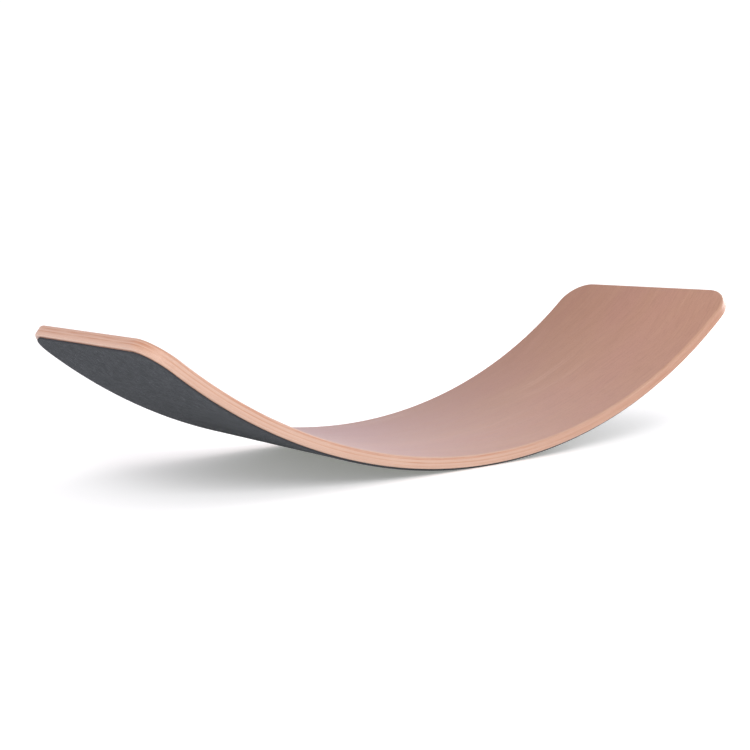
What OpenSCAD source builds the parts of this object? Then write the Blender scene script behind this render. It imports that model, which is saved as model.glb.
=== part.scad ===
// Curvy balance board: a form-pressed plywood rocker with a felt sole glued under it.
// Eleven beech veneers are bent together over one mould, and every third one lies crosswise.
// The middle is one round bend, and a short straight end runs out from it on each side.
// X runs along the board, Y across it and Z up; the origin is the lowest line of the felt.

/* [Board] */
// Width of the board, across the bend
board_w = 300; // [150:1:450]
// Radius of the bend, at the wood's underside
bend_r = 667; // [450:1:1000]
// Angle from the middle of the bend to the start of a straight end
bend_half_angle = 38.5; // [20:0.1:50]
// Radius of the four corners, seen square to the board
corner_r = 40; // [15:1:70]
// Straight run between the bend and the start of the corners
end_run = 2; // [1:1:120]
// Radius that the long edges and the ends are rounded over to
edge_r = 3.3; // [1:0.1:6]

/* [Veneers] */
// Thickness of one pressed veneer
veneer_t = 1.3; // [1.2:0.05:2.2]

/* [Felt] */
// Thickness of the felt
felt_t = 2.5; // [1:0.1:6]
// Strip of bare wood that the felt leaves along the edges and the ends
felt_inset = 5.5; // [1:0.5:12]

/* [Hidden] */
$fn = 256;

// Veneers in the press, counted from the underside up
veneer_count = 11;
// Thickness of all the veneers together
board_t = veneer_count * veneer_t;
// Height of the bend's axis over the lowest line of the felt
axis_z = bend_r + felt_t;
// Length of each straight end, which holds the corners whole
end_l = end_run + corner_r;
// How far a cutting shape runs past what it cuts
overrun = 1;
// How far each half of the bend is swept past the middle, where it is then cut
past_middle_angle = bend_half_angle / 8;

face_colour = [0.77, 0.61, 0.54];
long_grain_colour = [0.90, 0.74, 0.66];
cross_grain_colour = [0.82, 0.64, 0.55];
felt_colour = [0.31, 0.32, 0.34];

// Half of the wood's section, from a middle line out to the rim: its reach lies along X
// and its height over the underside along Y. The two corners at the rim are rounded over.
module wood_section(reach) {
    square([reach - edge_r, board_t]);
    translate([0, edge_r])
        square([reach, board_t - 2 * edge_r]);
    for (height = [edge_r, board_t - edge_r])
        translate([reach - edge_r, height])
            circle(edge_r);
}

// The slice of that half section that one veneer takes up.
module veneer_section(reach, number) {
    intersection() {
        wood_section(reach);
        translate([-overrun, (number - 1) * veneer_t])
            square([reach + 2 * overrun, veneer_t]);
    }
}

// The felt's half section: square cut, short of the wood's rim and under the wood.
module felt_section(reach) {
    translate([0, -felt_t])
        square([reach, felt_t]);
}

// A layer's half section: number 0 is the felt, and 1 and up are the veneers.
module layer_section(reach, number) {
    if (number == 0)
        felt_section(reach - felt_inset);
    else
        veneer_section(reach, number);
}

// A layer's whole section, across the board.
module full_section(number) {
    layer_section(board_w / 2, number);
    mirror([1, 0])
        layer_section(board_w / 2, number);
}

// Half of the bend and a little more: the whole section swept round the axis, which lies along Y
// through the origin here. It starts under the axis and goes up towards -X.
module half_bend(number) {
    mirror([1, 0, 0])
        rotate([90, 0, 0])
            rotate([0, 0, -90])
                rotate_extrude(angle = bend_half_angle + past_middle_angle)
                    translate([bend_r, 0])
                        rotate([0, 0, 90])
                            full_section(number);
}

// One straight end, lying flat along +X, with the wood's underside at height 0.
// A plain run comes first, then a tip with a round corner at each side.
module straight_end(number) {
    rotate([90, 0, 90])
        linear_extrude(end_run)
            full_section(number);
    translate([end_run, board_w / 2 - corner_r, 0])
        rotate([90, 0, 0])
            linear_extrude(board_w - 2 * corner_r)
                layer_section(corner_r, number);
    for (side = [0, 1])
        mirror([0, side, 0])
            translate([end_run, board_w / 2 - corner_r, 0])
                rotate_extrude(angle = 90)
                    layer_section(corner_r, number);
}

// The straight end and its half of the bend, turned up round the axis into place.
module swept_half(number) {
    translate([0, 0, axis_z])
        rotate([0, -bend_half_angle, 0]) {
            half_bend(number);
            translate([0, 0, -bend_r])
                straight_end(number);
        }
}

// The half of a layer on the +X side, cut square at the middle.
module half_layer(number) {
    intersection() {
        swept_half(number);
        translate([0, -board_w / 2 - overrun, -overrun])
            cube([bend_r + end_l, board_w + 2 * overrun, axis_z]);
    }
}

// One layer of the board, from tip to tip.
module layer(number) {
    for (side = [0, 1])
        mirror([side, 0, 0])
            half_layer(number);
}

// The felt that the board rocks on.
module felt_sole() {
    color(felt_colour)
        layer(0);
}

// The veneer that the felt is glued to.
module bottom_face_veneer() {
    color(face_colour)
        layer(1);
}

// A core veneer with its grain along the board.
module long_veneer(number) {
    color(long_grain_colour)
        layer(number);
}

// A core veneer with its grain across the board, which shows darker at the long edges.
module cross_veneer(number) {
    color(cross_grain_colour)
        layer(number);
}

// The veneer that people sit and stand on.
module top_face_veneer() {
    color(face_colour)
        layer(veneer_count);
}

felt_sole();
bottom_face_veneer();
long_veneer(2);  // long_veneer_2
cross_veneer(3);  // cross_veneer_3
long_veneer(4);  // long_veneer_4
long_veneer(5);  // long_veneer_5
cross_veneer(6);  // cross_veneer_6
long_veneer(7);  // long_veneer_7
long_veneer(8);  // long_veneer_8
cross_veneer(9);  // cross_veneer_9
long_veneer(10);  // long_veneer_10
top_face_veneer();
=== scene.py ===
"""Curved balance board: eleven bent beech veneers and a felt sole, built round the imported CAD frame."""
import math
from typing import NamedTuple

import bpy
import numpy as np
from bpy.props import FloatProperty, FloatVectorProperty, PointerProperty
from mathutils import Matrix, Vector, noise


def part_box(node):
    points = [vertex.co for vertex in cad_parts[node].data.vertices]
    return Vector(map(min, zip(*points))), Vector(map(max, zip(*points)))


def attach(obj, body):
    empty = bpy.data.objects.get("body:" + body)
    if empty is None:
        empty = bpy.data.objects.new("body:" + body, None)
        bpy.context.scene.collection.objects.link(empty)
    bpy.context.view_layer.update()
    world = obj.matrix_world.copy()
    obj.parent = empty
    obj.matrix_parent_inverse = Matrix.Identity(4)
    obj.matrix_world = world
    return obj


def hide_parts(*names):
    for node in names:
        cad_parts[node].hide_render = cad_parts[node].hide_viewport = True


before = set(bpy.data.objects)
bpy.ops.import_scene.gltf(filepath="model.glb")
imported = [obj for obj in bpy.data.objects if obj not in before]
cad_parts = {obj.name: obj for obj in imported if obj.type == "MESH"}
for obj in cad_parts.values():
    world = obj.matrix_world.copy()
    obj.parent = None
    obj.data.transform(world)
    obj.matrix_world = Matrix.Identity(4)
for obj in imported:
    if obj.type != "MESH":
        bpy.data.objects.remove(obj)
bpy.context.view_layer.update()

bl_info = {
    "name": "Curved Balance Board",
    "version": (1, 0, 0),
    "blender": (4, 5, 0),
    "location": "3D View > Sidebar > Balance Board",
    "description": "Builds a bent beech balance board with a felt sole, on a pale floor",
    "category": "Add Mesh",
}

BODY = "root"

# Veneers are counted from the underside up. Their grain runs along the board, apart from the cross veneers.
VENEER_COUNT = 11
CROSS_VENEERS = (3, 6, 9)
# How dark each veneer shows, from the underside up: 0 is the palest. The first row holds for most of the
# long edges, the second for the ends, and the third for the last stretch of the long edges, on the +X side.
# The tenth veneer's dark side tone is partly painted shade, where the top rounding turns away from the
# light.
SIDE_TONES = (0.12, 0.02, 0.34, 0.16, 0.04, 0.62, 0.14, 0.02, 0.62, 0.72, 0.0)
END_TONES = (0.0, 0.08, 0.16, 0.36, 0.80, 0.18, 0.68, 0.82, 0.28, 0.40, 0.30)
ARM_TONES = (0.30, 0.30, 0.32, 0.36, 0.46, 0.50, 0.40, 0.30, 0.20, 0.02, 0.0)

# What the materials read from a mesh: a point's place in the flat lay-up, the way that its face looks
# there, and the three tones of its veneer.
PLACE = "laid_flat"
FACING = "facing"
TONES = "tones"


def low_side(node):
    """Height of a CAD node's lowest point."""
    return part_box(node)[0].z


def width_of(node):
    """Width of a CAD node, across the board."""
    low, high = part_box(node)
    return high.y - low.y


# Sizes that the CAD model shows directly, to the nearest hundredth of a millimetre.
SIZE_DIGITS = 5
WOOD_START = low_side("bottom_face_veneer")
TOP_VENEER_RISE = low_side("top_face_veneer") - WOOD_START
BOARD_WIDTH = round(width_of("cross_veneer_6"), SIZE_DIGITS)
VENEER_THICKNESS = round(TOP_VENEER_RISE / (VENEER_COUNT - 1), SIZE_DIGITS)
FELT_THICKNESS = round(WOOD_START - low_side("felt_sole"), SIZE_DIGITS)
FELT_INSET = round((BOARD_WIDTH - width_of("felt_sole")) / 2, SIZE_DIGITS)


def length(name, description, default):
    """A size in metres, as a property."""
    return FloatProperty(name=name, description=description, default=default, min=0.0, unit="LENGTH")


def colour(name, description, default):
    """A colour in linear light, as a property."""
    return FloatVectorProperty(
        name=name, description=description, default=default, size=3, min=0.0, max=1.0, subtype="COLOR"
    )


def amount(name, description, default):
    """A plain number, as a property."""
    return FloatProperty(name=name, description=description, default=default, min=0.0)


def power(name, description, default):
    """The power of a lamp in watts, as a property."""
    return FloatProperty(name=name, description=description, default=default, min=0.0, unit="POWER")


def angle(name, description, default):
    """An angle, as a property; its default is given in degrees."""
    return FloatProperty(
        name=name, description=description, default=math.radians(default), subtype="ANGLE", unit="ROTATION"
    )


class BoardSizes(bpy.types.PropertyGroup):
    """Sizes of the board, the same as those of the CAD model."""

    board_width: length("Board Width", "Width of the board, across the bend", BOARD_WIDTH)
    bend_radius: length("Bend Radius", "Radius of the bend, at the wood's underside", 0.667)
    bend_half_angle: angle("Bend Half Angle", "Angle from the middle to the start of a straight end", 38.5)
    corner_radius: length("Corner Radius", "Radius of the four corners, seen square to the board", 0.040)
    end_run: length("End Run", "Straight run between the bend and the start of the corners", 0.002)
    edge_radius: length("Edge Radius", "Radius that the sides and the ends are rounded over to", 0.0033)
    veneer_thickness: length("Veneer Thickness", "Thickness of one pressed veneer", VENEER_THICKNESS)
    felt_thickness: length("Felt Thickness", "Thickness of the felt", FELT_THICKNESS)
    felt_inset: length("Felt Inset", "Strip of bare wood that the felt leaves round its border", FELT_INSET)
    felt_edge_radius: length("Felt Edge Radius", "How far the felt's cut edge is worn round", 0.0007)
    felt_unevenness: length("Felt Unevenness", "How far the felt sinks in at its thinnest places", 0.0002)


class WoodLook(bpy.types.PropertyGroup):
    """Colours of the beech under its clear lacquer, with three tints of painted shade."""

    face_pale: colour("Face Pale", "Face veneer between its growth lines", (0.502, 0.283, 0.190))
    face_deep: colour("Face Deep", "Darker bands of the face veneer", (0.464, 0.251, 0.163))
    face_blush: colour("Face Blush", "Broad pinker places of the face veneer", (0.472, 0.249, 0.181))
    # Painted shade: the face darkens towards its +Y side, where the light falls off.
    face_side_shade: colour("Face Side Shade", "Tint that deepens the face towards one side", (0.80, 0.755, 0.745))
    # Painted shade: the face deepens and warms towards the +X end, where less light and sheen fall.
    face_end_shade: colour("Face End Shade", "Tint that deepens the face towards one end", (0.965, 0.940, 0.895))
    face_fleck: colour("Face Fleck", "Small ray flecks of the face veneer", (0.27, 0.115, 0.068))
    face_line: colour("Face Line", "Pale growth lines of the face veneer", (0.575, 0.345, 0.250))
    edge_pale: colour("Edge Pale", "Side of a veneer, cut along its grain", (0.590, 0.397, 0.294))
    edge_deep: colour("Edge Deep", "Darker streaks of that side", (0.510, 0.322, 0.232))
    end_pale: colour("End Pale", "Side of a veneer at an end of the board", (0.629, 0.400, 0.282))
    end_grain: colour("End Grain", "Side of a veneer, cut across its grain", (0.440, 0.195, 0.105))
    # Painted shade: the edge deepens towards the +X end, where less light falls.
    edge_end_shade: colour("Edge End Shade", "Tint that deepens the edge towards one end", (0.86, 0.745, 0.665))
    glue_line: colour("Glue Line", "Thin line of glue between two veneers", (0.36, 0.20, 0.14))


class FeltLook(bpy.types.PropertyGroup):
    """Colours of the felt's fibres."""

    felt_dark: colour("Felt Dark", "Felt between its fibres", (0.038, 0.042, 0.046))
    felt_mid: colour("Felt Mid", "Most of the felt's fibres", (0.090, 0.096, 0.104))
    felt_light: colour("Felt Light", "The palest of the felt's fibres", (0.187, 0.194, 0.204))
    # The cut edge is darker: partly its own end-on fibres, and partly painted shade of the shadowed edge.
    felt_cut: colour("Felt Cut", "Cut edge of the felt, where light sinks in", (0.057, 0.061, 0.067))


class StageLook(bpy.types.PropertyGroup):
    """The floor, the light and the camera."""

    floor_colour: colour("Floor Colour", "Colour of the pale floor", (0.97, 0.97, 0.975))
    floor_glow: amount("Floor Glow", "Light that the floor gives off by itself, round the board", 0.24)
    far_glow: amount("Far Glow", "Light that the floor gives off by itself, far from the board", 0.45)
    glow_colour: colour("Glow Colour", "Colour of that light, which balances the walls", (0.98, 1.0, 0.90))
    wall_colour: colour("Wall Colour", "Colour of the light from the walls", (0.975, 0.94, 0.99))
    horizon_colour: colour("Horizon Colour", "Colour of that light close to the floor", (0.80, 0.793, 1.0))
    horizon_strength: amount("Horizon Strength", "Light from the walls close to the floor", 1.28)
    wall_strength: amount("Wall Strength", "Light from the white walls all round", 1.14)
    ceiling_strength: amount("Ceiling Strength", "Light from the ceiling", 0.63)
    front_power: power("Front Power", "Power of the soft light at the front left", 25.0)
    side_power: power("Side Power", "Power of the soft light at the right", 26.0)
    camera_lens: FloatProperty(
        name="Camera Lens", description="Focal length of the camera", default=68.391, unit="CAMERA"
    )
    camera_roll: angle("Camera Roll", "How far the camera is turned about its own line of sight", -1.30)


class Layout(NamedTuple):
    """How finely a sheet is divided: along half the bend, round half a corner, and across the end."""

    along: int
    corner: int
    across: int

    @property
    def rows(self):
        """Rows of points, from one end of the sheet to the other."""
        return 2 * (self.along + self.corner + 1) + 1

    @property
    def columns(self):
        """Columns of points, from one long edge to the other."""
        return 2 * self.corner + self.across + 1


class Ring(NamedTuple):
    """A line round a sheet's rim: its inset from the board's outline, its height, and how the rim leans."""

    inset: float
    height: float
    tilt: float


FACE_LAYOUT = Layout(along=64, corner=9, across=28)
CORE_LAYOUT = Layout(along=64, corner=9, across=6)
FELT_LAYOUT = Layout(along=116, corner=9, across=54)

# Leans of a rim, in steps from the lower face, where it looks straight down, to its upright part.
WOOD_TILTS = np.radians(np.linspace(-90, 0, 9))
FELT_TILTS = np.radians(np.linspace(-90, 0, 5))
# How close a line of the rim may come to a border of its veneer, as a share of the veneer's thickness.
RING_MARGIN = 0.05

# The felt's unevenness, slow and quick: the share of each, its repeats per metre and its level in the noise.
FELT_WAVES = ((0.35, 30.0, 0.5), (0.65, 110.0, 7.5))

# The name of the ready map that each piece carries.
BAKE_MAP = "OFBake"
# How far a face reaches from the middle of its part of the map, along and across.
MAP_REACH = np.array((0.49, 0.48))
# Shares of the map's height that the lower and the upper face get, by kind of sheet.
BOTTOM_MAP = (0.74, 0.02)
TOP_MAP = (0.02, 0.74)
CORE_MAP = (0.05, 0.05)
FELT_MAP = (0.80, 0.02)
# The rest holds the rim's four sides, in three bands with a margin: the band of each side, and for the
# two ends, which share one band, where in it they start.
RIM_BANDS = 3
RIM_PLACES = ((0, None), (2, 0.5), (1, None), (2, 0.0))
BAND_MARGIN = 0.08


def bend_reach(sizes):
    """Length of half the bend, along the wood's underside."""
    return sizes.bend_radius * sizes.bend_half_angle


def corner_middle(sizes):
    """The middle of a corner's round: places along and across."""
    return bend_reach(sizes) + sizes.end_run, sizes.board_width / 2 - sizes.corner_radius


def side_border(sizes, layout, inset):
    """A long side's border, from the end of the bend round half a corner: places along and across."""
    middle_along, middle_across = corner_middle(sizes)
    radius = sizes.corner_radius - inset
    turn = np.radians(np.linspace(0, 45, layout.corner + 1))
    along = np.concatenate([[bend_reach(sizes)], middle_along + radius * np.sin(turn)])
    across = np.concatenate([[middle_across + radius], middle_across + radius * np.cos(turn)])
    return along, across


def end_border(sizes, layout, inset):
    """An end's border, with half of the corner at each side of it: places along and across."""
    middle_along, middle_across = corner_middle(sizes)
    radius = sizes.corner_radius - inset
    turn = np.radians(np.linspace(45, 90, layout.corner + 1))
    back = turn[::-1]
    straight = np.linspace(-middle_across, middle_across, layout.across + 1)[1:-1]
    along = middle_along + radius * np.concatenate([np.sin(turn), np.ones(len(straight)), np.sin(back)])
    across = np.concatenate(
        [-middle_across - radius * np.cos(turn), straight, middle_across + radius * np.cos(back)]
    )
    return along, across


def flat_half(sizes, layout, inset):
    """One half of a sheet before it is bent, from the middle line to its end: places along and across.

    The border is the board's outline moved inwards by inset. Rows of the middle run straight across;
    the rows of the end curve more and more, until the last one follows the end and half of each corner."""
    side_along, side_across = side_border(sizes, layout, inset)
    end_along, end_across = end_border(sizes, layout, inset)
    bend_end = bend_reach(sizes)
    share = end_across / end_across[-1]
    middle_along = np.linspace(0, bend_end, layout.along + 1)
    along_middle = np.repeat(middle_along[:-1, None], layout.columns, 1)
    across_middle = np.repeat(share[None] * side_across[0], layout.along, 0)
    part = ((side_along - bend_end) / (side_along[-1] - bend_end))[:, None]
    bulge = end_along - side_along[-1]
    along_end = side_along[:, None] + part * bulge[None]
    straight_rows = share[None] * side_across[:, None]
    across_end = straight_rows + part * (end_across - share * side_across[-1])[None]
    return np.concatenate([along_middle, along_end]), np.concatenate([across_middle, across_end])


def flat_sheet(sizes, layout, inset):
    """A whole sheet before it is bent: places along and across, by row and column."""
    along, across = flat_half(sizes, layout, inset)
    return np.concatenate([-along[:0:-1], along]), np.concatenate([across[:0:-1], across])


def turn_at(sizes, along):
    """The angle that the bend has reached at a place along the board."""
    return np.clip(along / sizes.bend_radius, -sizes.bend_half_angle, sizes.bend_half_angle)


def pressed(sizes, along, across, height):
    """Where a point of the flat lay-up is on the bent board; height counts from the wood's underside."""
    turn = turn_at(sizes, along)
    past_bend = along - sizes.bend_radius * turn
    radius = sizes.bend_radius - height
    x = radius * np.sin(turn) + past_bend * np.cos(turn)
    z = sizes.bend_radius - radius * np.cos(turn) + past_bend * np.sin(turn) + sizes.felt_thickness
    return np.stack([x, across, z], -1)


def pressed_way(sizes, along, way):
    """Turns directions of the flat lay-up (along, across, up) to where they point on the bent board."""
    turn = turn_at(sizes, along)
    x = way[..., 0] * np.cos(turn) - way[..., 2] * np.sin(turn)
    z = way[..., 0] * np.sin(turn) + way[..., 2] * np.cos(turn)
    return np.stack([x, way[..., 1], z], -1)


def border_of(layout):
    """Rows and columns of a sheet's border, once round: a long side, an end, and then the other two."""
    last_row, last_column = layout.rows - 1, layout.columns - 1
    rows, columns = np.arange(layout.rows), np.arange(layout.columns)
    walk_rows = [rows[:-1], np.full(last_column, last_row), rows[:0:-1], np.zeros(last_column, int)]
    walk_columns = [np.zeros(last_row, int), columns[:-1], np.full(last_row, last_column), columns[:0:-1]]
    return np.concatenate(walk_rows), np.concatenate(walk_columns)


def border_ways(sizes, layout):
    """The way out of the sheet at each place of its border, in the flat lay-up."""
    border = border_of(layout)
    outer = flat_sheet(sizes, layout, 0.0)
    inner = flat_sheet(sizes, layout, sizes.veneer_thickness)
    way = np.stack([(outside - inside)[border] for outside, inside in zip(outer, inner)], -1)
    return way / np.linalg.norm(way, axis=1)[:, None]


def strip_between(low, high):
    """Values at the four corners of each square, in the strip between two rings."""
    return np.stack([low, np.roll(low, -1, 0), np.roll(high, -1, 0), high], 1)


class Sheet:
    """The points and faces of one sheet: a lower face, an upper face, and the rim between them.

    rings run from the lower border to the upper one. sink, by row and column, lifts the lower face."""

    def __init__(self, sizes, layout, rings, sink=0.0):
        self.sizes = sizes
        self.layout = layout
        self.rings = rings
        self.border = border_of(layout)
        self.ways = border_ways(sizes, layout)
        self.count = layout.rows * layout.columns
        self.flat = self.lay_points(sink)
        self.ring_points = self.number_rings()
        self.faces, self.facing = self.build_faces()

    def lay_points(self, sink):
        """All points in the flat lay-up: the lower face, the upper face, and the rings between them."""
        grids = []
        for ring in self.rings:
            along, across = flat_sheet(self.sizes, self.layout, ring.inset)
            grids.append(np.stack([along, across, np.full(along.shape, ring.height)], -1))
        grids[0][..., 2] += sink
        between = [grid[self.border] for grid in grids[1:-1]]
        return np.concatenate([grids[0].reshape(-1, 3), grids[-1].reshape(-1, 3), *between])

    def number_rings(self):
        """The numbers of each ring's points, from the lower border to the upper one."""
        rows, columns = self.border
        lower = rows * self.layout.columns + columns
        rings = [lower]
        for ring in range(len(self.rings) - 2):
            first = 2 * self.count + ring * len(lower)
            rings.append(np.arange(first, first + len(lower)))
        return rings + [lower + self.count]

    def build_faces(self):
        """All faces, four points each, and the way that each corner of a face looks in the flat lay-up."""
        grid = np.arange(self.count).reshape(self.layout.rows, self.layout.columns)
        squares = np.stack([grid[:-1, :-1], grid[1:, :-1], grid[1:, 1:], grid[:-1, 1:]], -1).reshape(-1, 4)
        faces = [squares[:, ::-1], squares + self.count]
        facing = [np.tile((0.0, 0.0, side), (len(squares), 4, 1)) for side in (-1, 1)]
        for ring in range(len(self.rings) - 1):
            faces.append(strip_between(self.ring_points[ring], self.ring_points[ring + 1]))
            facing.append(strip_between(self.rim_way(ring), self.rim_way(ring + 1)))
        return np.concatenate(faces), np.concatenate(facing)

    def rim_way(self, ring):
        """The way that the rim looks at each place of one ring."""
        tilt = self.rings[ring].tilt
        up = np.full((len(self.ways), 1), math.sin(tilt))
        return np.concatenate([self.ways * math.cos(tilt), up], 1)

    def bake_places(self, face_shares):
        """A map with no overlaps: both faces and the four sides of the rim, one above the other.

        face_shares gives the shares of the map's height for the lower and the upper face."""
        flat = self.flat[:, :2]
        along, across = (0.5 + MAP_REACH * flat / np.abs(flat).max(0)).T
        count = (self.layout.rows - 1) * (self.layout.columns - 1)
        below, above, rim = slice(count), slice(count, 2 * count), slice(2 * count, None)
        lower, upper = face_shares
        places = np.zeros(self.faces.shape + (2,))
        places[..., 0] = along[self.faces]
        places[below, :, 1] = lower * across[self.faces[below]]
        places[above, :, 1] = lower + upper * across[self.faces[above]]
        self.lay_out_rim(places[rim], across[self.faces[rim]], lower + upper)
        return places

    def lay_out_rim(self, places, across, bottom):
        """Puts the rim into the rest of the map: the two long sides, then both ends beside each other."""
        strips = len(self.rings) - 1
        sides = 2 * (self.layout.rows - 1, self.layout.columns - 1)
        places = places.reshape(strips, -1, 4, 2)
        across = across.reshape(strips, -1, 4)
        lines = np.linspace(BAND_MARGIN, 1 - BAND_MARGIN, strips + 1)
        rise = np.stack([lines[:-1], lines[:-1], lines[1:], lines[1:]], -1)[:, None]
        start = 0
        for side, (band, shift) in zip(sides, RIM_PLACES):
            part = slice(start, start + side)
            places[:, part, :, 1] = bottom + (1 - bottom) / RIM_BANDS * (band + rise)
            if shift is not None:
                places[:, part, :, 0] = shift + 0.5 * across[:, part]
            start += side

    def to_object(self, name, face_shares, tones=(0.0, 0.0, 0.0), soft=False):
        """Makes the sheet into a Blender object with exact normals, its lay-up places and its map.

        soft lets an uneven lower face keep its own normals."""
        points = pressed(self.sizes, *self.flat.T)
        mesh = bpy.data.meshes.new(name)
        mesh.from_pydata(points, [], self.faces.tolist())
        mesh.polygons.foreach_set("use_smooth", np.ones(len(self.faces), bool))
        normals = pressed_way(self.sizes, self.flat[self.faces, 0], self.facing)
        if soft:
            self.soften(mesh, normals)
        mesh.normals_split_custom_set(normals.reshape(-1, 3))
        self.store(mesh, PLACE, "POINT", self.flat)
        self.store(mesh, FACING, "CORNER", self.facing)
        self.store(mesh, TONES, "POINT", np.tile(tones, (len(points), 1)))
        places = self.bake_places(face_shares)
        mesh.uv_layers.new(name=BAKE_MAP).data.foreach_set("uv", places.ravel().astype(np.float32))
        piece = bpy.data.objects.new(name, mesh)
        bpy.context.scene.collection.objects.link(piece)
        return piece

    def soften(self, mesh, normals):
        """Lets the lower face keep the normals of its uneven surface, away from its border."""
        found = np.empty(len(mesh.vertices) * 3, np.float32)
        mesh.vertex_normals.foreach_get("vector", found)
        inside = np.ones(len(mesh.vertices), bool)
        inside[self.ring_points[0]] = False
        inside[self.count :] = False
        here = inside[self.faces]
        normals[here] = found.reshape(-1, 3)[self.faces][here]

    @staticmethod
    def store(mesh, name, domain, values):
        """Keeps a vector for each point, or for each corner of a face."""
        attribute = mesh.attributes.new(name, "FLOAT_VECTOR", domain)
        attribute.data.foreach_set("vector", np.asarray(values, np.float32).ravel())


def wood_thickness(sizes):
    """Thickness of all the veneers together."""
    return VENEER_COUNT * sizes.veneer_thickness


def rounding(sizes):
    """Heights of the lines all the way up the wood's rim, which is rounded over at both faces."""
    radius = sizes.edge_radius
    low = [radius + radius * math.sin(tilt) for tilt in WOOD_TILTS]
    return low + [wood_thickness(sizes) - height for height in reversed(low)]


def rim_at(sizes, height):
    """The line round the wood's rim at a height over its underside."""
    radius = sizes.edge_radius
    past_flat = max(0.0, height - (wood_thickness(sizes) - radius)) - max(0.0, radius - height)
    tilt = math.asin(max(-1.0, min(1.0, past_flat / radius)))
    return Ring(radius - radius * math.cos(tilt), height, tilt)


def veneer_rings(sizes, number):
    """The rim of one veneer, counted from the underside, from its lower border to its upper one."""
    bottom, top = (number - 1) * sizes.veneer_thickness, number * sizes.veneer_thickness
    margin = RING_MARGIN * sizes.veneer_thickness
    between = [height for height in rounding(sizes) if bottom + margin < height < top - margin]
    return [rim_at(sizes, height) for height in (bottom, *between, top)]


def felt_rings(sizes):
    """The felt's cut edge, from its worn outer border up to the wood."""
    radius, inset = sizes.felt_edge_radius, sizes.felt_inset
    rings = []
    for tilt in FELT_TILTS:
        height = radius * (1 + math.sin(tilt)) - sizes.felt_thickness
        rings.append(Ring(inset + radius * (1 - math.cos(tilt)), height, tilt))
    return rings + [Ring(inset, 0.0, 0.0)]


def felt_sink(sizes, inset):
    """How far the felt's surface sinks in at each place: a slow and a quick unevenness together."""
    along, across = flat_sheet(sizes, FELT_LAYOUT, inset)
    waves = np.zeros(along.shape)
    for share, repeats, level in FELT_WAVES:
        places = zip((along * repeats).ravel(), (across * repeats).ravel())
        wave = [noise.noise(Vector((s, y, level))) for s, y in places]
        waves += share * np.reshape(wave, along.shape)
    return sizes.felt_unevenness * np.clip(0.5 + waves, 0, 1)


def felt_cut(sizes):
    """The felt as it is cut: its width and length, and its area without what the round corners take off."""
    flat_length = 2 * (bend_reach(sizes) + sizes.end_run + sizes.corner_radius)
    flat = (sizes.board_width - 2 * sizes.felt_inset, flat_length - 2 * sizes.felt_inset)
    corner = sizes.corner_radius - sizes.felt_inset
    return flat, flat[0] * flat[1] - (4 - math.pi) * corner**2


class Pattern(NamedTuple):
    """Noise drawn out along the grain: repeats per metre along, across and through the sheet."""

    repeats: tuple
    detail: float = 2.0
    rough: float = 0.5
    warp: float = 0.0
    turn: float = 0.0


class Range(NamedTuple):
    """Values from low to high, and the new values that these two turn into."""

    low: float
    high: float
    to_low: float = 0.0
    to_high: float = 1.0


# Edges of the veneers: dark patches, the stretches along the board where the tone changes and where the
# painted shade comes in, streaks along the grain, and the glue, by its distance in veneers.
EDGE_PATCHES = Pattern((22.0, 22.0, 700.0), detail=4.0, rough=0.65)
PATCH_TONE = Range(0.36, 0.62, 0.3, 1.2)
ARM_STRETCH = Range(-0.02, 0.24)
EDGE_SHADE_STRETCH = Range(-0.03, 0.36)
END_SHARE = Range(0.25, 0.9)
LONG_GRAIN = Pattern((12.0, 1400.0, 1400.0), detail=3.0, rough=0.6)
CROSS_GRAIN = Pattern((1400.0, 12.0, 1400.0), detail=3.0, rough=0.6)
PALE_GRAIN = Range(0.32, 0.62)
GLUE_SHARE = Range(0.03, 0.07, 0.55, 0.0)
EDGE_GLOSS = Range(0.3, 0.7, 0.42, 0.54)

# Faces of the board. The growth lines, bands, streaks and flecks wander across them together.
FACE_WANDER = Pattern((3.6, 5.0, 20.0), detail=1.0)
WANDER_REACH = 0.075
FACE_GROWTH = Pattern((1.2, 26.0, 60.0), detail=1.0)
GROWTH_LEVEL = 0.56
GROWTH_LINE = Range(0.0, 0.022, 1.0, 0.0)
LINE_PLACES = Pattern((6.0, 10.0, 20.0), detail=1.0)
LINE_SHARE = Range(0.50, 0.66, 0.0, 0.40)
FACE_BANDS = Pattern((9.0, 64.0, 300.0), detail=3.0, rough=0.6)
BAND_SHARE = Range(0.25, 0.75)
FACE_STREAKS = Pattern((34.0, 300.0, 900.0), detail=4.0, rough=0.6)
STREAK_SHARE = Range(0.3, 0.55, 0.24, 0.0)
FACE_FLECKS = Pattern((300.0, 2600.0, 2600.0), detail=1.0)
FLECK_PLACES = Range(0.60, 0.72)
# How strongly a fleck colours the face, and how far it sinks in, as a share of the streaks' relief.
FLECK_SHARE = 0.50
FLECK_DEPTH = 0.5
FACE_BLUSH = Pattern((4.0, 16.0, 50.0))
BLUSH_SHARE = Range(0.38, 0.66, 0.0, 0.8)
# Where the two painted shades come in, across and along the board, and where the face gives way to its edge.
SIDE_SHADE_STRETCH = Range(-0.05, 0.15)
FACE_SHADE_STRETCH = Range(0.12, 0.42)
FACE_SHARE = Range(0.93, 0.995)
FACE_GLOSS = Range(0.3, 0.7, 0.33, 0.41)

# The lacquer on the wood, and how far the grain stands out through it.
LACQUER_IOR = 1.5
WOOD_RELIEF = 0.00003

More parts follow.
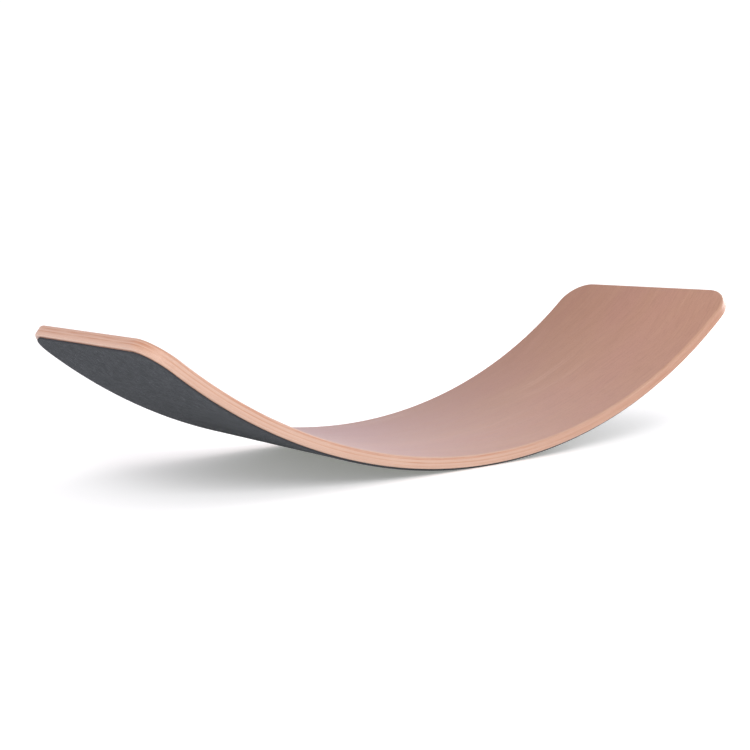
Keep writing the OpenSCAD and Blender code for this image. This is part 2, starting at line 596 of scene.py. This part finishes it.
# The felt: fibres that lie three ways, their pale tips, and a mottle that hides some of both.
FELT_MOTTLE = Pattern((130.0, 130.0, 130.0), detail=4.0, rough=0.75)
FELT_FIBRES = Pattern((260.0, 2600.0, 2600.0), warp=0.6)
FIBRE_TURNS = (0.3, 1.35, 2.4)
FIBRE_SHARE = Range(0.48, 0.66)
TIP_SHARE = Range(0.64, 0.76)
TIP_MOTTLE = Range(0.35, 0.65)
DARK_MOTTLE = Range(0.34, 0.62, 0.7, 0.0)
# Where the felt's face gives way to its cut edge, which carries partly painted shade.
FELT_CUT_SHADE_SHARE = Range(0.5, 0.9)
FELT_RELIEF = 0.0005
FELT_GLOSS = {"Roughness": 0.95, "Specular IOR Level": 0.05, "Sheen Weight": 0.02, "Sheen Roughness": 0.6}


def fill_sockets(tree, node, inputs):
    """Sets a node's sockets, by name or number, to values or to the outputs of other nodes."""
    for name, value in inputs.items():
        socket = node.inputs[name]
        if isinstance(value, bpy.types.NodeSocket):
            tree.links.new(value, socket)
        elif socket.type == "RGBA":
            socket.default_value = (*value, 1.0)
        else:
            socket.default_value = value


def new_node(tree, kind, inputs=None, **settings):
    """Adds a node; inputs gives a value, or another node's output, for each of its sockets."""
    node = tree.nodes.new(kind)
    for name, value in settings.items():
        setattr(node, name, value)
    fill_sockets(tree, node, inputs or {})
    return node


def blend_colours(tree, share, first, second, way="MIX"):
    """Mixes two colours by a share; a Mix node takes colours at sockets 6 and 7."""
    inputs = {0: share, 6: first, 7: second}
    return new_node(tree, "ShaderNodeMix", inputs, data_type="RGBA", blend_type=way).outputs[2]


def blend_numbers(tree, share, first, second):
    """Mixes two numbers by a share; a Mix node takes numbers at sockets 2 and 3."""
    return new_node(tree, "ShaderNodeMix", {0: share, 2: first, 3: second}).outputs[0]


def calculate(tree, operation, first, second=0.0):
    """One sum on two numbers."""
    return new_node(tree, "ShaderNodeMath", {0: first, 1: second}, operation=operation).outputs[0]


def spread(tree, value, span):
    """Spreads the values of a range over its new values, and holds them there."""
    old = {"Value": value, "From Min": span.low, "From Max": span.high}
    new = {"To Min": span.to_low, "To Max": span.to_high}
    return new_node(tree, "ShaderNodeMapRange", old | new).outputs[0]


def read_vector(tree, name):
    """A stored vector of the mesh."""
    return new_node(tree, "ShaderNodeAttribute", attribute_name=name).outputs["Vector"]


def parts_of(tree, vector):
    """A vector's three numbers, by axis."""
    return new_node(tree, "ShaderNodeSeparateXYZ", {"Vector": vector}).outputs


def streaky(tree, place, pattern):
    """The noise of a pattern, at each place of the flat lay-up."""
    inputs = {"Vector": place, "Scale": pattern.repeats, "Rotation": (0.0, 0.0, pattern.turn)}
    mapped = new_node(tree, "ShaderNodeMapping", inputs, vector_type="POINT").outputs[0]
    detail = {"Detail": pattern.detail, "Roughness": pattern.rough, "Distortion": pattern.warp}
    return new_node(tree, "ShaderNodeTexNoise", {"Vector": mapped, "Scale": 1.0} | detail).outputs[0]


def wandering(tree, place, pattern, reach):
    """Places moved across by a slow noise, up to half of reach, so that what follows them wanders."""
    off = calculate(tree, "SUBTRACT", streaky(tree, place, pattern), 0.5)
    across = calculate(tree, "MULTIPLY", off, reach)
    shift = new_node(tree, "ShaderNodeCombineXYZ", {"Y": across}).outputs[0]
    return new_node(tree, "ShaderNodeVectorMath", {0: place, 1: shift}, operation="ADD").outputs[0]


def relief(tree, height, depth):
    """Normals of a fine relief, depth metres from its lowest to its highest places."""
    inputs = {"Height": height, "Strength": 1.0, "Distance": depth}
    return new_node(tree, "ShaderNodeBump", inputs).outputs[0]


def facing_share(tree, axis):
    """How squarely a face looks along one axis of the lay-up, from 0 to 1."""
    return calculate(tree, "ABSOLUTE", parts_of(tree, read_vector(tree, FACING))[axis])


def new_finish(name):
    """An empty material: its node tree and its shader."""
    material = bpy.data.materials.new(name)
    material.use_nodes = True
    tree = material.node_tree
    return material, tree, tree.nodes["Principled BSDF"]


def edge_tone(tree, place, end):
    """How dark a veneer's edge is: its own tones along the long edges and at the ends, in patches."""
    tones = parts_of(tree, read_vector(tree, TONES))
    arm = spread(tree, parts_of(tree, place)["X"], ARM_STRETCH)
    side = blend_numbers(tree, arm, tones["X"], tones["Z"])
    tone = blend_numbers(tree, end, side, tones["Y"])
    patch = spread(tree, streaky(tree, place, EDGE_PATCHES), PATCH_TONE)
    return calculate(tree, "MULTIPLY", tone, patch)


def edge_colour(tree, look, grain, place, thickness):
    """Colour of a veneer's edge: pale wood with streaks of its grain, darker by its tone, with painted shade
    towards the +X end, and the glue.
    """
    end = spread(tree, facing_share(tree, "X"), END_SHARE)
    clear = blend_colours(tree, end, look.edge_pale, look.end_pale)
    pale = blend_colours(tree, spread(tree, grain, PALE_GRAIN), look.edge_deep, clear)
    cut = blend_colours(tree, edge_tone(tree, place, end), pale, look.end_grain)
    parts = parts_of(tree, place)
    # Painted shade, deepening the edge towards the +X end.
    cut = blend_colours(tree, spread(tree, parts["X"], EDGE_SHADE_STRETCH), cut, look.edge_end_shade, "MULTIPLY")
    veneers_up = calculate(tree, "DIVIDE", parts["Z"], thickness)
    to_glue = calculate(tree, "PINGPONG", veneers_up, 0.5)
    return blend_colours(tree, spread(tree, to_glue, GLUE_SHARE), cut, look.glue_line)


def core_finish(name, look, sizes, pattern):
    """Beech seen at the edge of a core veneer, with the pattern of its grain."""
    material, tree, shader = new_finish(name)
    place = read_vector(tree, PLACE)
    grain = streaky(tree, place, pattern)
    fill_sockets(tree, shader, {
        "Base Color": edge_colour(tree, look, grain, place, sizes.veneer_thickness),
        "Roughness": spread(tree, grain, EDGE_GLOSS),
        "IOR": LACQUER_IOR,
        "Normal": relief(tree, grain, WOOD_RELIEF),
    })
    return material


def growth_lines(tree, place, flow):
    """How strongly the growth lines show: they follow one level of a slow noise, and fade in and out."""
    growth = streaky(tree, flow, FACE_GROWTH)
    to_line = calculate(tree, "ABSOLUTE", calculate(tree, "SUBTRACT", growth, GROWTH_LEVEL))
    shown = spread(tree, streaky(tree, place, LINE_PLACES), LINE_SHARE)
    return calculate(tree, "MULTIPLY", spread(tree, to_line, GROWTH_LINE), shown)


def plain_face(tree, look, place, flow):
    """Colour of a face before its streaks and flecks: bands, growth lines, blush, and two tints of painted
    shade.
    """
    bands = spread(tree, streaky(tree, flow, FACE_BANDS), BAND_SHARE)
    face = blend_colours(tree, bands, look.face_deep, look.face_pale)
    face = blend_colours(tree, growth_lines(tree, place, flow), face, look.face_line)
    blush = spread(tree, streaky(tree, place, FACE_BLUSH), BLUSH_SHARE)
    face = blend_colours(tree, blush, face, look.face_blush)
    parts = parts_of(tree, place)
    # Painted shade: darker towards the +Y side and towards the +X end.
    face = blend_colours(tree, spread(tree, parts["Y"], SIDE_SHADE_STRETCH), face, look.face_side_shade, "MULTIPLY")
    return blend_colours(tree, spread(tree, parts["X"], FACE_SHADE_STRETCH), face, look.face_end_shade, "MULTIPLY")


def face_finish(name, look, sizes):
    """Lacquered beech of a face veneer: growth lines, fine streaks and ray flecks along the board."""
    material, tree, shader = new_finish(name)
    place = read_vector(tree, PLACE)
    flow = wandering(tree, place, FACE_WANDER, WANDER_REACH)
    streaks = streaky(tree, flow, FACE_STREAKS)
    flecks = spread(tree, streaky(tree, flow, FACE_FLECKS), FLECK_PLACES)
    face = plain_face(tree, look, place, flow)
    face = blend_colours(tree, spread(tree, streaks, STREAK_SHARE), face, look.face_fleck)
    face = blend_colours(tree, calculate(tree, "MULTIPLY", flecks, FLECK_SHARE), face, look.face_fleck)
    edge = edge_colour(tree, look, streaks, place, sizes.veneer_thickness)
    on_face = spread(tree, facing_share(tree, "Z"), FACE_SHARE)
    height = calculate(tree, "SUBTRACT", streaks, calculate(tree, "MULTIPLY", flecks, FLECK_DEPTH))
    fill_sockets(tree, shader, {
        "Base Color": blend_colours(tree, on_face, edge, face),
        "Roughness": spread(tree, streaks, FACE_GLOSS),
        "IOR": LACQUER_IOR,
        "Normal": relief(tree, height, WOOD_RELIEF),
    })
    return material


def felt_finish(name, look):
    """Felt: short fibres lying all ways, in three shades, over a soft mottle."""
    material, tree, shader = new_finish(name)
    place = read_vector(tree, PLACE)
    mottle = streaky(tree, place, FELT_MOTTLE)
    fibres = [streaky(tree, place, FELT_FIBRES._replace(turn=turn)) for turn in FIBRE_TURNS]
    most = calculate(tree, "MAXIMUM", calculate(tree, "MAXIMUM", fibres[0], fibres[1]), fibres[2])
    body = blend_colours(tree, spread(tree, most, FIBRE_SHARE), look.felt_dark, look.felt_mid)
    tips = calculate(tree, "MULTIPLY", spread(tree, most, TIP_SHARE), spread(tree, mottle, TIP_MOTTLE))
    tipped = blend_colours(tree, tips, body, look.felt_light)
    shaded = blend_colours(tree, spread(tree, mottle, DARK_MOTTLE), tipped, look.felt_dark)
    on_face = spread(tree, facing_share(tree, "Z"), FELT_CUT_SHADE_SHARE)
    fill_sockets(tree, shader, FELT_GLOSS)
    fill_sockets(tree, shader, {
        # The cut edge takes its darker colour: partly painted shade, and partly the cut's own fibres.
        "Base Color": blend_colours(tree, on_face, look.felt_cut, shaded),
        "Normal": relief(tree, calculate(tree, "ADD", most, mottle), FELT_RELIEF),
    })
    return material


def tones_of(number):
    """The tones of one veneer, counted from the underside."""
    return tuple(row[number - 1] for row in (SIDE_TONES, END_TONES, ARM_TONES))


def settle(piece, node, material):
    """Gives a piece its finish, and lets it stand for its CAD node."""
    piece.data.materials.append(material)
    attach(piece, BODY)
    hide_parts(node)


class FaceVeneers(bpy.types.Operator):
    """Build the two face veneers, at the underside and on top"""

    bl_idname = "balance_board.face_veneers"
    bl_label = "Face Veneers"

    def execute(self, context):
        sizes = context.scene.board_sizes
        finish = face_finish("Beech face", context.scene.wood_look, sizes)
        for node, name, number, face_shares in (
            ("bottom_face_veneer", "bottom_face", 1, BOTTOM_MAP),
            ("top_face_veneer", "top_face", VENEER_COUNT, TOP_MAP),
        ):
            sheet = Sheet(sizes, FACE_LAYOUT, veneer_rings(sizes, number))
            piece = sheet.to_object(name, face_shares, tones_of(number))
            settle(piece, node, finish)
        return {"FINISHED"}


class CoreVeneers(bpy.types.Operator):
    """Build the nine veneers between the faces"""

    bl_idname = "balance_board.core_veneers"
    bl_label = "Core Veneers"

    def execute(self, context):
        sizes, look = context.scene.board_sizes, context.scene.wood_look
        finishes = {
            "long": core_finish("Beech long grain edge", look, sizes, LONG_GRAIN),
            "cross": core_finish("Beech cross grain edge", look, sizes, CROSS_GRAIN),
        }
        for number in range(2, VENEER_COUNT):
            kind = "cross" if number in CROSS_VENEERS else "long"
            sheet = Sheet(sizes, CORE_LAYOUT, veneer_rings(sizes, number))
            piece = sheet.to_object(f"{kind}_core_{number}", CORE_MAP, tones_of(number))
            settle(piece, f"{kind}_veneer_{number}", finishes[kind])
        return {"FINISHED"}


class FeltSole(bpy.types.Operator):
    """Build the felt under the board"""

    bl_idname = "balance_board.felt_sole"
    bl_label = "Felt Sole"

    def execute(self, context):
        sizes = context.scene.board_sizes
        rings = felt_rings(sizes)
        sheet = Sheet(sizes, FELT_LAYOUT, rings, felt_sink(sizes, rings[0].inset))
        felt = sheet.to_object("felt", FELT_MAP, soft=True)
        settle(felt, "felt_sole", felt_finish("Felt", context.scene.felt_look))
        return {"FINISHED"}


class SoftPanel(NamedTuple):
    """A soft light panel: where it stands, the point that it faces, and its width and height."""

    place: tuple
    aim: tuple
    size: tuple


# The floor, its reach to each side, and how far from the board its own light starts to grow and is full.
FLOOR_REACH = 30.0
FLOOR_ROUGHNESS = 0.9
GLOW_NEAR = 1.2
GLOW_FAR = 3.0

# Where the light of the walls changes, by how high it comes from: 0 is level and 1 is straight above.
HORIZON_RISE = Range(0.12, 0.35)
WALL_TOP = 0.35
CEILING_START = 0.80
FRONT_PANEL = SoftPanel(place=(-1.25, -1.65, 1.55), aim=(0.0, 0.0, 0.05), size=(1.2, 1.0))
SIDE_PANEL = SoftPanel(place=(2.1, 0.0, 0.55), aim=(0.3, 0.0, 0.0), size=(1.6, 0.9))

# The camera: its places and what it sees are in metres, and its sensor is in millimetres.
CAMERA_PLACE = (-1.105125, -1.398811, 0.318999)
CAMERA_AIM = (-0.0925, 0.0, 0.08706)
CAMERA_SHIFT = (0.0327, 0.0193)
SENSOR_WIDTH = 36.0
NEAREST_SEEN = 0.05
FARTHEST_SEEN = 200.0


def add_floor(look):
    """A wide pale floor under the board."""
    material, tree, shader = new_finish("Pale floor")
    place = new_node(tree, "ShaderNodeTexCoord").outputs["Object"]
    away = new_node(tree, "ShaderNodeVectorMath", {0: place}, operation="LENGTH").outputs["Value"]
    fill_sockets(tree, shader, {
        "Base Color": look.floor_colour,
        "Roughness": FLOOR_ROUGHNESS,
        "Specular IOR Level": 0.0,
        "Emission Color": look.glow_colour,
        "Emission Strength": spread(tree, away, Range(GLOW_NEAR, GLOW_FAR, look.floor_glow, look.far_glow)),
    })
    mesh = bpy.data.meshes.new("floor")
    corners = [(x * FLOOR_REACH, y * FLOOR_REACH, 0.0) for x, y in ((-1, -1), (1, -1), (1, 1), (-1, 1))]
    mesh.from_pydata(corners, [], [(0, 1, 2, 3)])
    mesh.materials.append(material)
    floor = bpy.data.objects.new("floor", mesh)
    bpy.context.scene.collection.objects.link(floor)


def add_light(look):
    """White walls under a dimmer ceiling, and two soft panels, at the front left and at the right."""
    world = bpy.data.worlds.new("Studio")
    world.use_nodes = True
    tree = world.node_tree
    way = new_node(tree, "ShaderNodeTexCoord").outputs["Generated"]
    rise = parts_of(tree, way)["Z"]
    upper = spread(tree, rise, Range(WALL_TOP, CEILING_START, look.wall_strength, look.ceiling_strength))
    risen = spread(tree, rise, HORIZON_RISE)
    fill_sockets(tree, tree.nodes["Background"], {
        "Color": blend_colours(tree, risen, look.horizon_colour, look.wall_colour),
        "Strength": blend_numbers(tree, risen, look.horizon_strength, upper),
    })
    bpy.context.scene.world = world
    add_panel("front panel", FRONT_PANEL, look.front_power)
    add_panel("side panel", SIDE_PANEL, look.side_power)


def add_panel(name, panel, watts):
    """Puts up one soft light panel."""
    light = bpy.data.lights.new(name, "AREA")
    light.shape = "RECTANGLE"
    light.size, light.size_y = panel.size
    light.energy = watts
    lamp = bpy.data.objects.new(name, light)
    lamp.matrix_world = aimed(panel.place, panel.aim)
    bpy.context.scene.collection.objects.link(lamp)


def add_camera(look):
    """The camera, at the photograph's viewing angle."""
    data = bpy.data.cameras.new("camera")
    data.sensor_width = SENSOR_WIDTH
    data.lens = look.camera_lens
    data.shift_x, data.shift_y = CAMERA_SHIFT
    data.clip_start, data.clip_end = NEAREST_SEEN, FARTHEST_SEEN
    camera = bpy.data.objects.new("camera", data)
    camera.matrix_world = aimed(CAMERA_PLACE, CAMERA_AIM, look.camera_roll)
    bpy.context.scene.collection.objects.link(camera)
    bpy.context.scene.camera = camera


def aimed(place, aim, roll=0.0):
    """The placing of a lamp or a camera that looks from one point to another."""
    way = Vector(aim) - Vector(place)
    turn = way.to_track_quat("-Z", "Y").to_matrix() @ Matrix.Rotation(roll, 3, "Z")
    return Matrix.Translation(place) @ turn.to_4x4()


class Stage(bpy.types.Operator):
    """Set up the pale floor, the soft light and the camera"""

    bl_idname = "balance_board.stage"
    bl_label = "Stage"

    def execute(self, context):
        look = context.scene.stage_look
        add_floor(look)
        add_light(look)
        add_camera(look)
        context.scene.view_settings.view_transform = "Standard"
        return {"FINISHED"}


class BalanceBoardPanel(bpy.types.Panel):
    """Lists the board's sizes, its looks and the steps that build it"""

    bl_idname = "VIEW3D_PT_balance_board"
    bl_label = "Balance Board"
    bl_space_type = "VIEW_3D"
    bl_region_type = "UI"
    bl_category = "Balance Board"

    def draw(self, context):
        for name in LOOKS:
            group = getattr(context.scene, name)
            box = self.layout.box()
            for prop in group.__annotations__:
                box.prop(group, prop)
        for step in STEPS:
            self.layout.operator(step.bl_idname)


LOOKS = {"board_sizes": BoardSizes, "wood_look": WoodLook, "felt_look": FeltLook, "stage_look": StageLook}
STEPS = (FaceVeneers, CoreVeneers, FeltSole, Stage)


def register():
    """Registers the properties, the steps and the panel."""
    for group in LOOKS.values():
        bpy.utils.register_class(group)
    for name, group in LOOKS.items():
        setattr(bpy.types.Scene, name, PointerProperty(type=group))
    for step in (*STEPS, BalanceBoardPanel):
        bpy.utils.register_class(step)


def unregister():
    """Takes everything that register made away again."""
    for step in (BalanceBoardPanel, *reversed(STEPS)):
        bpy.utils.unregister_class(step)
    for name in LOOKS:
        delattr(bpy.types.Scene, name)
    for group in reversed(LOOKS.values()):
        bpy.utils.unregister_class(group)


def main():
    """Builds the whole scene, step by step."""
    register()
    bpy.ops.balance_board.face_veneers()
    bpy.ops.balance_board.core_veneers()
    bpy.ops.balance_board.felt_sole()
    bpy.ops.balance_board.stage()


if __name__ == "__main__":
    main()
